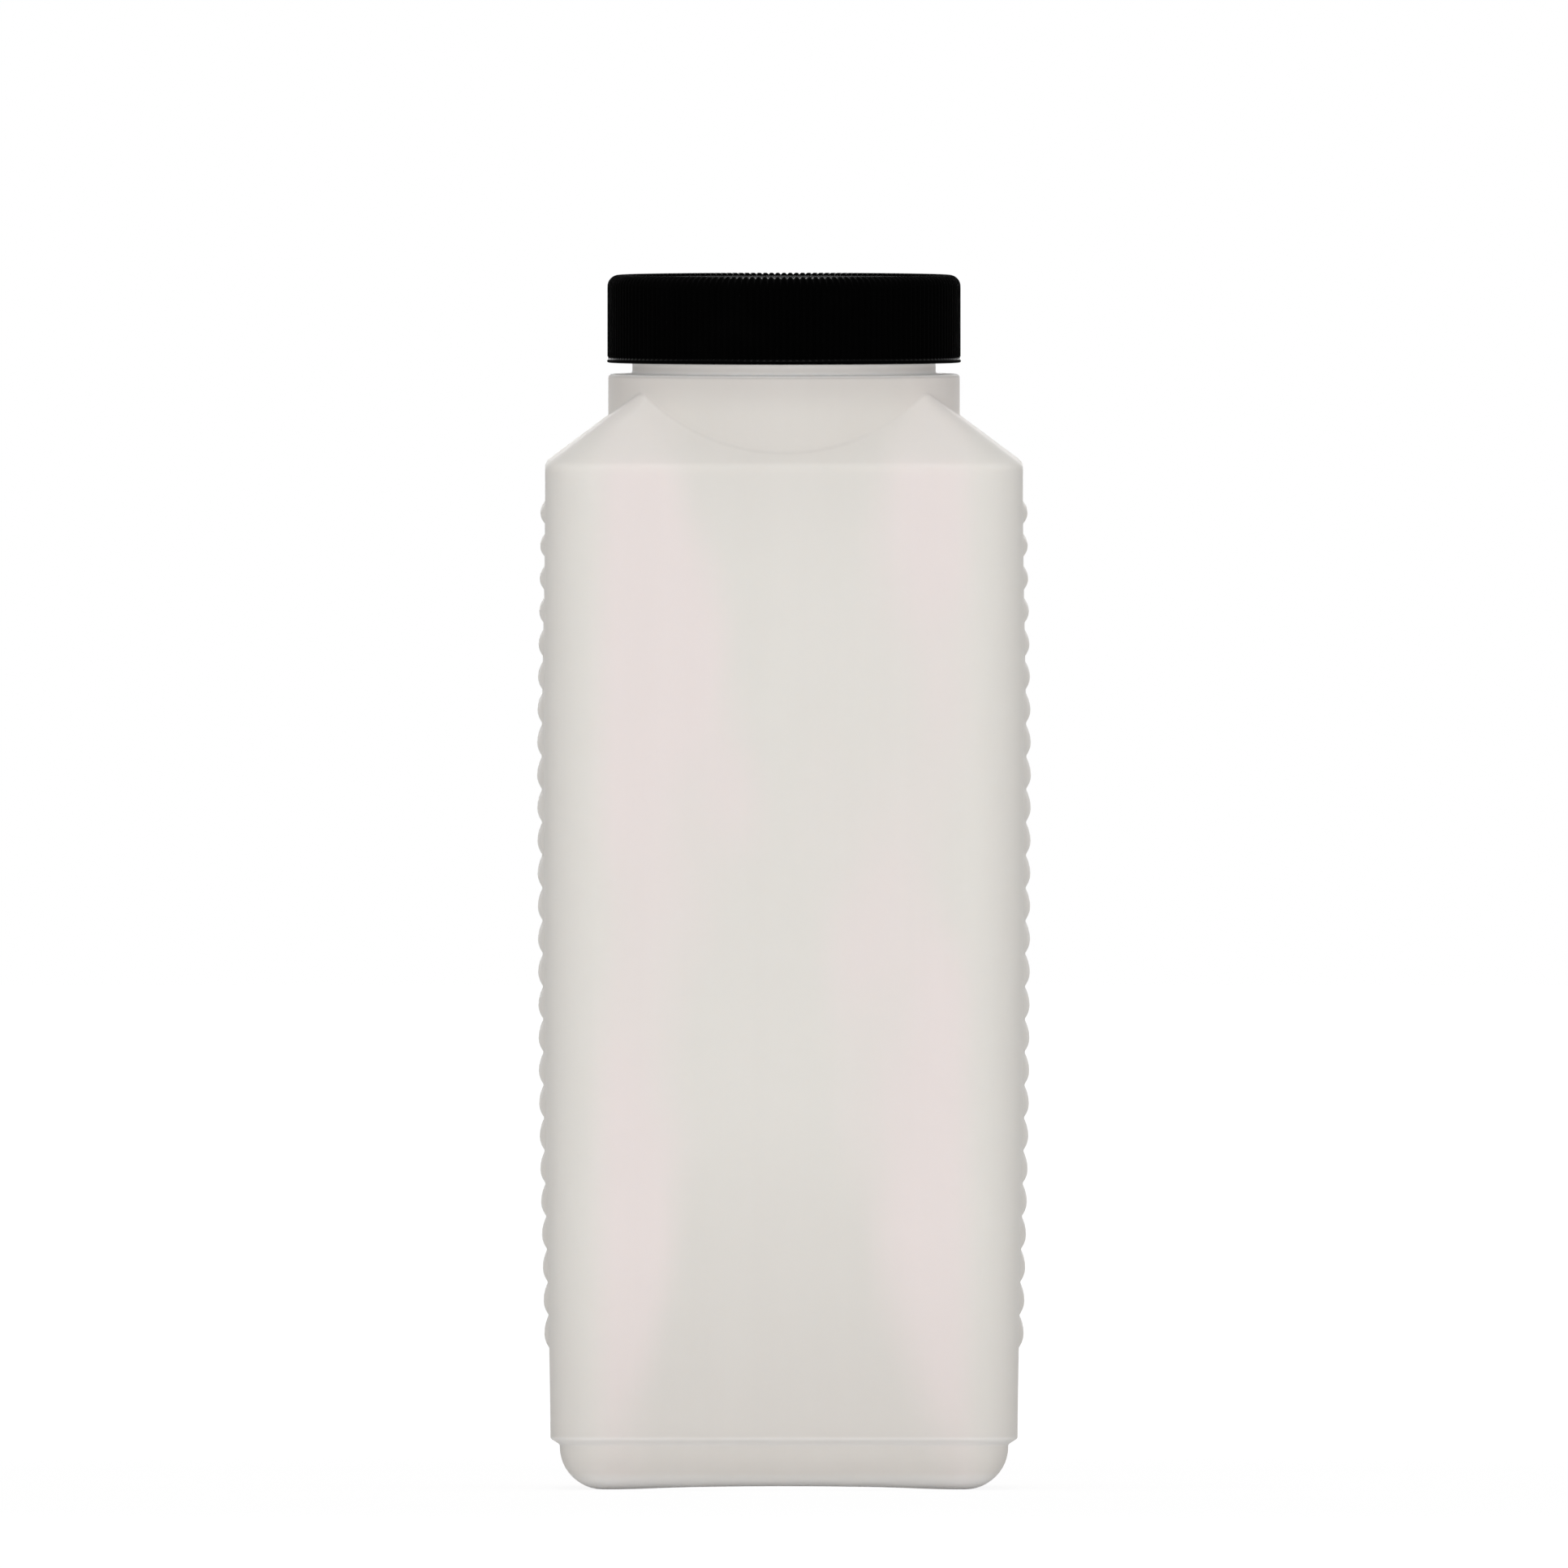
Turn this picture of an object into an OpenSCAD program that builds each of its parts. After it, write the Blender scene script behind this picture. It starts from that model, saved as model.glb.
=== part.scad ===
// Rectangular wide-mouth laboratory bottle, blow-moulded in one piece, with
// moulded grip ribs down both narrow sides, a hipped shoulder, a round collar,
// a screw cap and the cap's sealing disc. Millimetres, +Z up, standing on z = 0
// with the bottle's axis on the Z axis and a broad face towards -Y.

/* [Part] */
// Which piece to draw

/* [Body] */
// Width between the ribbed side walls, measured under the shoulder
body_w = 87.3; // [80:0.1:100]
// Depth between the two broad walls, measured under the shoulder
body_d = 70; // [62:0.5:86]
// Height of the walls, from the ground to the shoulder's edge
body_h = 187; // [150:1:240]
// Radius of the four upright corners
corner_r = 10; // [8.5:0.5:14]
// Thickness of the blown wall
wall = 1.3; // [0.9:0.1:2]
// How much each wall leans in from the shoulder down to the base
taper = 1; // [0:0.1:2]
// How far each wall swells out where it is fullest
swell = 0.95; // [0:0.05:2]

/* [Base] */
// Height of the stepped-in base
base_h = 8; // [7.9:0.1:12]
// How far the base is set in under the walls
base_step = 1.7; // [0.5:0.1:2.5]
// Height of the sloping step itself
step_h = 1.5; // [0.8:0.1:3]
// Radius from the base's wall to its underside
base_r = 7.8; // [6:0.1:7.8]
// Rise of the foot between the four corners
foot_arch = 0.6; // [0.2:0.1:1.2]
// Further rise of the underside's middle
push_up = 1.4; // [0.4:0.1:3]
// Width of the foot that touches the ground
foot_w = 3; // [2:0.5:5]

/* [Shoulder] */
// Slope of the shoulder over the ribbed sides, in degrees
side_slope = 37; // [32:0.5:40]
// Slope of the shoulder over the broad faces, in degrees
face_slope = 40; // [34:0.5:42]
// Length of the rounding between wall and shoulder
shoulder_edge = 1.1; // [0.4:0.1:2.5]
// Radius of the hips where they run out at the collar
hip_r = 2.2; // [2.2:0.1:6]

/* [Collar and neck] */
// Diameter of the round collar
collar_d = 64.2; // [60:0.2:66]
// Height of the collar's top above the shoulder's edge
collar_h = 16.4; // [15:0.1:20]
// Wall of the collar
collar_wall = 1.6; // [1.2:0.1:2.4]
// Rounding of the collar's top edge
collar_edge = 0.7; // [0.3:0.1:1.2]
// Diameter of the groove between the collar and the finish
groove_d = 55.4; // [54.6:0.2:56.4]
// Height of the groove, before it flares out to the finish
groove_h = 3; // [2.2:0.1:4]
// Diameter of the finish that the cap screws onto
finish_d = 57.8; // [57:0.1:58.6]
// Height of the rim above the collar
neck_h = 14.9; // [13.6:0.1:18]
// Diameter of the mouth's bore
bore_d = 51.6; // [46:0.2:52.4]
// Rounding of the rim
rim_edge = 0.5; // [0.2:0.1:0.8]

/* [Grip ribs] */
// Distance from one rib to the next
rib_pitch = 6; // [6:0.05:12]
// Height of the lowest rib's crest above the ground
rib_low = 28.1; // [24:0.1:40]
// Least height of plain wall between the ribs and the shoulder's edge
rib_plain = 5.8; // [4:0.1:40]
// How far a rib stands out of the wall
rib_out = 0.83; // [0.4:0.05:1.2]
// Length of a rib across the wall
rib_len = 46; // [30:1:48]
// Width of the uppermost ribs
rib_narrow = 3.6; // [2:0.1:4.6]
// Width of the ribs lower down, where they nearly meet
rib_broad = 5.6; // [4.8:0.1:5.8]
// Length over which the end of a rib runs out
rib_end = 3; // [1.5:0.5:4]

/* [Cap] */
// Diameter over the cap's fine ribs
cap_d = 64.5; // [64:0.1:66]
// Height of the cap
cap_h = 15.9; // [12:0.1:17]
// Thickness of the cap's top
cap_top = 1.8; // [1.2:0.1:2.6]
// Thickness of the cap's skirt behind the ribs
cap_wall = 1.55; // [1.2:0.05:1.9]
// Rounding of the cap's top edge
cap_edge = 2.1; // [0.8:0.1:2.5]
// How far in from the cap's side its recessed top panel begins
panel_in = 3.4; // [2.9:0.1:12]
// Depth of the recessed top panel
panel_deep = 0.5; // [0.2:0.1:0.6]
// Number of fine ribs round the cap
cap_ribs = 164; // [120:1:180]
// Depth of the cap's fine ribs
cap_rib_depth = 0.45; // [0.2:0.05:0.6]
// Height of the smooth bead along the cap's lower edge
bead_h = 0.5; // [0.5:0.05:2]
// How far the bead stands out past the fine ribs
bead_out = 0.05; // [0:0.05:0.4]
// Height of the groove above the bead
bead_groove = 0.5; // [0.1:0.05:0.5]

/* [Sealing disc] */
// Thickness of the sealing disc
liner_t = 1.4; // [0.8:0.1:2.2]
// Clearance between the disc's edge and the cap's skirt
liner_gap = 0.35; // [0.2:0.05:0.6]

/* [Hidden] */
$fn = 96;
corner_steps = 6;               // facets of an upright corner
base_steps = 6;                 // facets of the base radius
shoulder_steps = 4;             // rings up the shoulder
flat_foot = 0.8;                // share of the arch's curve at which the foot is flat
collar_r = collar_d / 2;
collar_z = body_h + collar_h;
rim_z = collar_z + neck_h;
finish_r = finish_d / 2;
groove_r = groove_d / 2;
bore_r = bore_d / 2;
cap_z = rim_z + liner_t - (cap_h - cap_top);   // lower edge of the seated cap
cap_root_r = cap_d / 2 - cap_rib_depth;
cap_in_r = cap_root_r - cap_wall;
liner_r = cap_in_r - liner_gap;
step_top = base_h + step_h;
rib_count = 1 + floor((body_h - rib_plain - rib_low - rib_pitch / 2) / rib_pitch);
base_w = body_w / 2 - taper - base_step;       // half sizes of the base
base_d = body_d / 2 - taper - base_step;

// columns of the skin along a broad wall and along a narrow one, as shares of
// the flat between the corners; the narrow one has the ribs' ends among them
face_cols = [-1, -0.92, -0.5, 0, 0.5, 0.92, 1];
side_flat = body_d / 2 - corner_r;
rib_cols = [for (y = [rib_len / 2, rib_len / 2 - rib_end / 3, rib_len / 2 - rib_end]) y / side_flat];
side_cols = concat([-1], -rib_cols, [0], [rib_cols[2], rib_cols[1], rib_cols[0]], [1]);
rib_fade = [0, 0.75, 1, 1, 1, 0.75, 0];        // how high a rib is at its columns

function smooth(t) = let (u = min(max(t, 0), 1)) u * u * (3 - 2 * u);

// share of the swell at height z: it grows up from the base and dies out
// towards the shoulder
function fullness(z) =
    smooth((z - base_h) / (0.42 * body_h - base_h))
    * (1 - smooth((z - 0.68 * body_h) / (0.32 * body_h)));

// a ring of the skin is [z, half width, half depth, corner radius, swell, foot
// arch]; its points run anticlockwise from the +X wall
function arc_pts(r, cx, cy, from) =
    [for (k = [1:corner_steps - 1])
        let (a = from + 90 * k / corner_steps) [cx + r * cos(a), cy + r * sin(a)]];

function outline(a, b, r) =
    let (u = a - r, v = b - r) concat(
        [for (f = side_cols) [a, f * v]],
        arc_pts(r, u, v, 0),
        [for (f = face_cols) [-f * u, b]],
        arc_pts(r, -u, v, 90),
        [for (f = side_cols) [-a, -f * v]],
        arc_pts(r, -u, -v, 180),
        [for (f = face_cols) [f * u, -b]],
        arc_pts(r, u, -v, 270));

function ring(row) =
    let (a = row[1], b = row[2], s = row[4])
    [for (p = outline(a, b, row[3]))
        let (u = pow(p[0] / a, 2), v = pow(p[1] / b, 2))
        [p[0] * (1 + s / a * (1 - v)), p[1] * (1 + s / b * (1 - u)),
         row[0] + row[5] * max(0, 1 - u * v / flat_foot)]];

// the rings of a skin that lies t inside the outer one
function base_rows(t) =
    [for (k = [0:base_steps])
        let (a = 90 * k / base_steps, out = (base_r - t) * sin(a) - base_r)
        [base_r - (base_r - t) * cos(a), base_w + out, base_d + out,
         max(corner_r - base_step + out, 0.3), 0, foot_arch * pow(1 - k / base_steps, 2)]];

function wall_row(z, t) =
    let (lean = taper * (body_h - z) / (body_h - step_top))
    [z, body_w / 2 - lean - t, body_d / 2 - lean - t, corner_r - t, swell * fullness(z), 0];

function step_rows(t) = concat(
    [[base_h, base_w - t, base_d - t, corner_r - base_step - t, 0, 0]],
    [for (f = [0.3, 0.7])
        let (out = base_step * smooth(f)) [base_h + step_h * f, base_w + out - t,
            base_d + out - t, corner_r - base_step + out - t, 0, 0]],
    [wall_row(step_top, t)]);

function shoulder_row(z, t) =
    let (up = z - body_h, high = collar_h / 1.3)
    [z, body_w / 2 - up / tan(side_slope) - t / sin(side_slope),
     body_d / 2 - up / tan(face_slope) - t / sin(face_slope),
     max(corner_r - (corner_r - hip_r) * up / high, hip_r / 2) - 0.8 * t, 0, 0];

function edge_rows(t) =
    let (e = shoulder_edge, drop = t / 2,
         top = shoulder_row(body_h + e * sin(side_slope) - drop, t))
    [for (u = [0:1 / 3:1.01])
        let (low = wall_row(body_h - drop - e, t))
        [body_h - drop - e * pow(1 - u, 2) + e * sin(side_slope) * u * u,
         low[1] + (top[1] - low[1]) * u * u, low[2] + (top[2] - low[2]) * u * u,
         low[3] + (top[3] - low[3]) * u, 0, 0]];

// heights of the rings through the ribbed stretch: one in every second gap
rib_gaps = concat([for (i = [0:2:rib_count - 1]) i], [rib_count]);
function gap_z(i) = rib_low + (i - 0.5) * rib_pitch;

function low_rows(t) = concat(base_rows(t), step_rows(t), [wall_row((step_top + gap_z(0)) / 2, t)]);
function high_rows(t) =
    let (edge = edge_rows(t), from = edge[len(edge) - 1][0], to = collar_z - collar_wall * 0.6 - t)
    concat(edge, [for (k = [1:shoulder_steps])
        shoulder_row(from + (to - from) * k / shoulder_steps, t)]);
function rib_rows(t) = [for (i = rib_gaps) wall_row(gap_z(i), t)];

// width of rib i, counted from the lowest: the upper ones grow narrower
function rib_width(i) =
    let (from_top = (rib_count - 1 - i) / 8)
    rib_broad - (rib_broad - rib_narrow) * (1 - smooth(from_top));

// levels of rib i above its gap, as [height, share of the rib's stand-out]
function rib_levels(i) =
    let (w = rib_width(i), mid = rib_low + i * rib_pitch) concat(
        [[gap_z(i), 0]],
        [for (u = [-1:0.5:1]) [mid + u * w / 2, 1 - u * u]]);

// levels of one stretch between two rings, both rings included
function stretch_levels(k) = concat(
    [for (i = [rib_gaps[k]:rib_gaps[k + 1] - 1]) each rib_levels(i)],
    [[gap_z(rib_gaps[k + 1]), 0]]);

function lerp(p, q, u) = p + (q - p) * u;

// a closed skin from rings, with its underside closed by a foot, an inner ring
// and a middle point, and with the ribs let into both narrow walls
function flat_ring(row, inset, lift) =
    ring([row[0] + lift, row[1] - inset, row[2] - inset, row[3], 0, row[5]]);

module skin(t, ribbed) {
    low = low_rows(t);
    rows = concat(low, rib_rows(t), high_rows(t));
    rings = [for (r = rows) ring(r)];
    n = len(rings[0]);
    m = len(rings);
    foot = flat_ring(low[0], foot_w, 0);
    dome = [for (p = foot) [p[0] / 2, p[1] / 2, low[0][0] + foot_arch + push_up * 0.75]];
    middle = [0, 0, low[0][0] + foot_arch + push_up];
    from = len(low);                        // first ring of the ribbed stretch
    spans = len(rib_gaps) - 1;
    nc = len(rib_fade);

    // the ribbed patches: column 1 of the skin is the first of the +X patch
    start = [1, 1 + len(side_cols) + len(face_cols) + 2 * (corner_steps - 1)];
    patches = [for (s = [0, 1]) [for (k = [0:spans - 1])
        let (z0 = rows[from + k][0], z1 = rows[from + k + 1][0])
        [for (l = stretch_levels(k)) [for (j = [0:nc - 1])
            let (c = start[s] + j, p = rings[from + k][c], q = rings[from + k + 1][c])
            lerp(p, q, (l[0] - z0) / (z1 - z0))
                + [(1 - 2 * s) * rib_out * l[1] * rib_fade[j], 0, 0]]]]];

    function ribs_at(i, c) = ribbed && i >= from && i < from + spans
        && ((c >= start[0] - 1 && c < start[0] + nc)
            || (c >= start[1] - 1 && c < start[1] + nc));

    // every strip below is a list of corner lists, written as points
    shell_faces = [for (i = [0:m - 2]) for (c = [0:n - 1]) if (!ribs_at(i, c))
        let (d = (c + 1) % n) each
        [[rings[i][c], rings[i + 1][c], rings[i + 1][d]],
         [rings[i][c], rings[i + 1][d], rings[i][d]]]];
    foot_faces = [for (c = [0:n - 1]) let (d = (c + 1) % n) each
        [[rings[0][c], rings[0][d], foot[d]], [rings[0][c], foot[d], foot[c]],
         [foot[c], foot[d], dome[d]], [foot[c], dome[d], dome[c]],
         [dome[c], dome[d], middle]]];
    rib_faces = [for (s = [0, 1]) for (k = [0:spans - 1])
        let (q = patches[s][k], a = start[s] - 1, b = start[s] + nc,
             r0 = rings[from + k], r1 = rings[from + k + 1], last = len(q) - 1) each concat(
        [for (l = [0:last - 1]) for (j = [0:nc - 2]) each
            [[q[l][j], q[l + 1][j], q[l + 1][j + 1]], [q[l][j], q[l + 1][j + 1], q[l][j + 1]]]],
        [for (l = [0:last - 1]) each
            [[r0[a], q[l + 1][0], q[l][0]], [r0[b], q[l][nc - 1], q[l + 1][nc - 1]]]],
        [[r0[a], r1[a], q[last][0]], [r0[b], q[last][nc - 1], r1[b]]])];
    faces = concat(shell_faces, foot_faces, ribbed ? rib_faces : []);
    all_faces = concat(faces, [[for (c = [n - 1:-1:0]) rings[m - 1][c]]]);
    counts = [for (f = all_faces) len(f)];
    offsets = [for (i = 0, at = 0; i < len(counts); at = at + counts[i], i = i + 1) at];
    polyhedron(
        points = [for (f = all_faces) each f],
        faces = [for (i = [0:len(all_faces) - 1]) [for (j = [0:counts[i] - 1]) offsets[i] + j]],
        convexity = 8);
}

function arc_steps(cx, cz, r, from, to, steps) =
    [for (k = [0:steps]) let (a = from + (to - from) * k / steps) [cx + r * cos(a), cz + r * sin(a)]];

function quarter(cx, cz, r, steps) = arc_steps(cx, cz, r, 0, 90, steps);

module neck_outside() {
    flare = finish_r - groove_r;
    rotate_extrude() polygon(concat(
        [[0, body_h], [collar_r, body_h]],
        quarter(collar_r - collar_edge, collar_z - collar_edge, collar_edge, 4),
        [[groove_r, collar_z], [groove_r, collar_z + groove_h],
         [finish_r, collar_z + groove_h + flare]],
        quarter(finish_r - rim_edge, rim_z - rim_edge, rim_edge, 3),
        [[0, rim_z]]));
}

module neck_inside() {
    in_r = collar_r - collar_wall;
    ceiling = collar_z - collar_wall;
    rotate_extrude() polygon(concat(
        [[0, body_h], [in_r, body_h]],
        quarter(in_r - collar_edge, ceiling - collar_edge, collar_edge, 3),
        [[bore_r + collar_wall / 2, ceiling], [bore_r, ceiling + collar_wall / 2],
         [bore_r, rim_z - rim_edge], [bore_r + rim_edge, rim_z],
         [bore_r + rim_edge, rim_z + 1], [0, rim_z + 1]]));
}

module bottle() {
    color([0.89, 0.87, 0.85])
    difference() {
        union() {
            skin(0, true);
            neck_outside();
        }
        skin(wall, false);
        neck_inside();
    }
}

// outline of the fine ribs: a narrow flat on each crest and a notch between
module cap_outline() {
    step = 360 / cap_ribs;
    polygon([for (i = [0:cap_ribs - 1]) each
        [for (q = [[-0.22, cap_d / 2], [0.22, cap_d / 2], [0.5, cap_root_r]])
            q[1] * [cos(step * (i + q[0])), sin(step * (i + q[0]))]]]);
}

module screw_cap() {
    ribs_from = bead_h + bead_groove;
    bead_r = cap_d / 2 + bead_out;
    core_r = cap_root_r - 0.1;
    color([0.03, 0.03, 0.03])
    translate([0, 0, cap_z])
    difference() {
        union() {
            intersection() {
                translate([0, 0, ribs_from])
                    linear_extrude(height = cap_h - ribs_from) cap_outline();
                rotate_extrude() polygon(concat(
                    [[0, 0], [cap_d / 2 + 1, 0], [cap_d / 2 + 1, cap_h - cap_edge * 1.8],
                     [cap_d / 2 + 0.2 * cap_edge, cap_h - cap_edge * 1.4]],
                    arc_steps(cap_d / 2 - cap_edge, cap_h - cap_edge, cap_edge, 15, 90, 4),
                    [[0, cap_h]]));
            }
            rotate_extrude() polygon([[0, 0], [bead_r - 0.3, 0], [bead_r, 0.3],
                [bead_r, bead_h - 0.15], [bead_r - 0.15, bead_h], [core_r, bead_h],
                [core_r, ribs_from + 1], [0, ribs_from + 1]]);
        }
        rotate_extrude() polygon([[0, -1], [cap_in_r + 0.4, -1], [cap_in_r + 0.4, 0],
            [cap_in_r, 0.4], [cap_in_r, cap_h - cap_top], [0, cap_h - cap_top]]);
        translate([0, 0, cap_h - panel_deep]) cylinder(r = cap_d / 2 - panel_in, h = 1);
    }
}

module cap_liner() {
    color([0.95, 0.95, 0.94])
    translate([0, 0, rim_z]) cylinder(r = liner_r, h = liner_t);
}

bottle();
screw_cap();
cap_liner();
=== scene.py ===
import math

import bpy
import numpy as np
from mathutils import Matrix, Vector


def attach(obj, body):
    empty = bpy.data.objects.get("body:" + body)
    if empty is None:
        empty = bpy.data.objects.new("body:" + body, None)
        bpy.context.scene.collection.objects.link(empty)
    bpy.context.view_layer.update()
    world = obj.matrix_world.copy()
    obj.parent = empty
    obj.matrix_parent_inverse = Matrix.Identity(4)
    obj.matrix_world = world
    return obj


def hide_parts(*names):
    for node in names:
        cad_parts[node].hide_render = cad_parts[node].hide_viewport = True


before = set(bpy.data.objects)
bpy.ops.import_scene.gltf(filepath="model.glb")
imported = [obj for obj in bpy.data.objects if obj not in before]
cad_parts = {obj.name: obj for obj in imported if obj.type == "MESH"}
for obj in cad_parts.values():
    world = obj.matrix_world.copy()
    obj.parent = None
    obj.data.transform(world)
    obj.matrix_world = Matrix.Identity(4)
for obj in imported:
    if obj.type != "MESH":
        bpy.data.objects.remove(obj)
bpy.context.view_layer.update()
millimetre = 0.001


def smoothStep(t):
    # 3t^2 - 2t^3 between 0 and 1, flat outside
    t = np.clip(t, 0, 1)
    return t * t * (3 - 2 * t)


def arcPoints(centreR, centreZ, radius, start, stop, steps):
    # points of an arc in the profile plane: centre + radius * (cos a, sin a), a in degrees
    a = np.radians(np.linspace(start, stop, steps))
    return np.column_stack([centreR + radius * np.cos(a), centreZ + radius * np.sin(a)])


def gridPiece(name, grid, startPole, endPole, body, node, finish):
    # rows of closed rings, in millimetres: each point is joined to the next one on its ring and to the one
    # above it, and both ends are drawn together in a pole; a fourth value of the points is kept as "dip"
    rows, columns = grid.shape[:2]
    ids = np.arange(rows * columns).reshape(rows, columns)
    ahead = np.roll(ids, -1, axis=1)
    quads = np.stack([ids[:-1], ahead[:-1], ahead[1:], ids[1:]], axis=-1).reshape(-1, 4)
    startFan = np.column_stack([np.full(columns, rows * columns), ahead[0], ids[0]])
    endFan = np.column_stack([ids[-1], ahead[-1], np.full(columns, rows * columns + 1)])
    points = np.vstack([grid[:, :, :3].reshape(-1, 3), startPole, endPole]) * millimetre
    corners = np.concatenate([quads.ravel(), startFan.ravel(), endFan.ravel()])
    sizes = np.concatenate([np.full(len(quads), 4), np.full(2 * columns, 3)])
    mesh = bpy.data.meshes.new(name)
    mesh.vertices.add(len(points))
    mesh.vertices.foreach_set("co", points.ravel())
    mesh.loops.add(len(corners))
    mesh.loops.foreach_set("vertex_index", corners.astype(np.int32))
    mesh.polygons.add(len(sizes))
    mesh.polygons.foreach_set("loop_start", (np.cumsum(sizes) - sizes).astype(np.int32))
    mesh.polygons.foreach_set("use_smooth", np.ones(len(sizes), bool))
    mesh.update(calc_edges=True)
    mesh.validate()
    if grid.shape[2] > 3:
        dip = mesh.attributes.new("dip", "FLOAT", "POINT")
        dip.data.foreach_set("value", np.append(grid[:, :, 3], [0, 0]))
    mesh.materials.append(finish)
    piece = bpy.data.objects.new(name, mesh)
    bpy.context.scene.collection.objects.link(piece)
    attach(piece, body)
    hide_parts(node)
    print(name, "has", len(quads) * 2 + 2 * columns, "triangles")


def threadRidge(angle, z, thread):
    # a helix z = start + pitch * turns, whose ridge is a flat-topped tooth across
    # and grows and dies out at its two ends
    turn = (z - thread["start"]) / thread["pitch"] - angle / (2 * math.pi)
    whole = np.round(turn)
    off = np.abs(turn - whole) * thread["pitch"]
    along = angle / (2 * math.pi) + whole
    tooth = smoothStep((thread["footWidth"] / 2 - off) / thread["flank"])
    ends = smoothStep(along / thread["runOut"]) * smoothStep((thread["turns"] - along) / thread["runOut"])
    return thread["height"] * tooth * ends


class Channel:
    # wraps a node's output, so that a sum or product written on it adds Math nodes
    def __init__(self, tree, source):
        self.tree, self.source = tree, source

    def __add__(self, other): return maths("ADD", self, other)
    def __radd__(self, other): return maths("ADD", other, self)
    def __sub__(self, other): return maths("SUBTRACT", self, other)
    def __rsub__(self, other): return maths("SUBTRACT", other, self)
    def __mul__(self, other): return maths("MULTIPLY", self, other)
    def __rmul__(self, other): return maths("MULTIPLY", other, self)
    def __truediv__(self, other): return maths("DIVIDE", self, other)
    def __abs__(self): return maths("ABSOLUTE", self)

    def ramp(self, low, high):
        # 0 at low, 1 at high, 3t^2 - 2t^3 between
        share = (self - low) / (high - low)
        t = maths("MAXIMUM", maths("MINIMUM", share, 1.0), 0.0)
        return t * t * (3.0 - 2.0 * t)

    def band(self, start, full, fullEnd, end):
        # a ramp up from start to full, times a ramp down from fullEnd to end
        return self.ramp(start, full) * (1 - self.ramp(fullEnd, end))


def maths(operation, *terms):
    # one Math node, fed by channels or plain numbers
    tree = [term.tree for term in terms if isinstance(term, Channel)][0]
    node = tree.nodes.new("ShaderNodeMath")
    node.operation = operation
    for place, term in zip(node.inputs, terms):
        plug(tree, place, term)
    return Channel(tree, node.outputs[0])


def plug(tree, place, value):
    # a channel is linked to the socket, and anything else is set on it
    if isinstance(value, Channel):
        tree.links.new(value.source, place)
    else:
        place.default_value = value


class Finish:
    # a node tree being built
    def __init__(self, tree):
        self.tree = tree
        tree.nodes.clear()

    def add(self, kind, settings=None, sockets=None, out=0):
        # any node, from its type, its settings and the values or links of its sockets
        node = self.tree.nodes.new(kind)
        for key, value in (settings or {}).items():
            setattr(node, key, value)
        for key, value in (sockets or {}).items():
            plug(self.tree, node.inputs[key], value)
        return Channel(self.tree, node.outputs[out]) if len(node.outputs) else node

    def several(self, kind, names, sockets=None):
        # more than one output of the same node
        node = self.add(kind, {}, sockets).source.node
        return [Channel(self.tree, node.outputs[name]) for name in names]

    def place(self, scale=(1, 1, 1)):
        # Object coordinates in metres, stretched
        where = self.add("ShaderNodeTexCoord", out="Object")
        return self.add("ShaderNodeMapping", {}, {"Vector": where, "Scale": scale})

    def axes(self):
        # x, y and z in metres
        where = self.add("ShaderNodeTexCoord", out="Object")
        return self.several("ShaderNodeSeparateXYZ", (0, 1, 2), {0: where})

    def noise(self, size, detail=2.0, roughness=0.5, stretch=(1, 1, 1)):
        # grey noise whose features are about size metres across
        return self.add("ShaderNodeTexNoise", {}, {"Vector": self.place(stretch), "Scale": 1 / size,
                        "Detail": detail, "Roughness": roughness})

    def blendColours(self, factor, first, second):
        # first * (1 - factor) + second * factor, through the colour sockets of a Mix node
        return self.add("ShaderNodeMix", {"data_type": "RGBA"}, {0: factor, 6: first, 7: second}, out=2)

    def blendShaders(self, factor, first, second):
        # the same for two shaders
        return self.add("ShaderNodeMixShader", {}, {0: factor, 1: first, 2: second})

    def relief(self, height):
        # the surface tilted by a height in metres
        return self.add("ShaderNodeBump", {}, {"Strength": 1.0, "Distance": 1.0, "Height": height})

    def end(self, shader, kind="ShaderNodeOutputMaterial"):
        # the shader goes to the tree's output
        self.add(kind, {}, {"Surface": shader})


def newMaterial(name):
    # an empty material and its node tree
    material = bpy.data.materials.new(name)
    material.use_nodes = True
    return material, Finish(material.node_tree)


def fromScreen(colour):
    # a colour as it is seen on screen, 0 to 255, made linear
    part = np.array(colour) / 255
    linear = np.where(part <= 0.04045, part / 12.92, ((part + 0.055) / 1.055) ** 2.4)
    return (*[float(v) for v in linear], 1.0)


bottle = dict(                      # millimetres and degrees
    width=87.3, depth=70.0, height=187.0, corner=10.0, wall=1.3, taper=1.0,
    swell=0.945, swellFull=0.42, swellEnd=0.68,     # the last two are shares of the height
    baseHeight=8.0, baseStep=1.7, stepHeight=1.5, baseRadius=7.8,
    footArch=0.6, archEnd=0.8, pushUp=1.4, footWidth=3.0,
    sideSlope=37.0, faceSlope=40.0, shoulderEdge=1.1, hipRadius=2.2, hipShare=1.3, innerCorner=0.8,
    collar=64.2, collarHeight=16.4, collarWall=1.6, collarEdge=0.7, crease=0.4, innerCrease=0.5,
    groove=55.4, grooveHeight=3.0, finish=57.8, neckHeight=14.9, bore=51.6, rimEdge=0.5,
    ribCount=26, ribPitch=6.0, ribLow=28.1, ribOut=0.82, ribLength=46.0, ribEnd=3.0,
    ribNarrow=3.6, ribBroad=5.6, ribsNarrowing=8, ribLean=0.08, ribTip=0.35, ribRunOff=1.2,
    thread=dict(start=209.3, pitch=4.2, turns=1.6, height=1.0, footWidth=1.7, flank=0.6, runOut=0.07),
)

wallColumns, arcColumns = 33, 15    # points of a ring along each wall and round each corner


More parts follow.
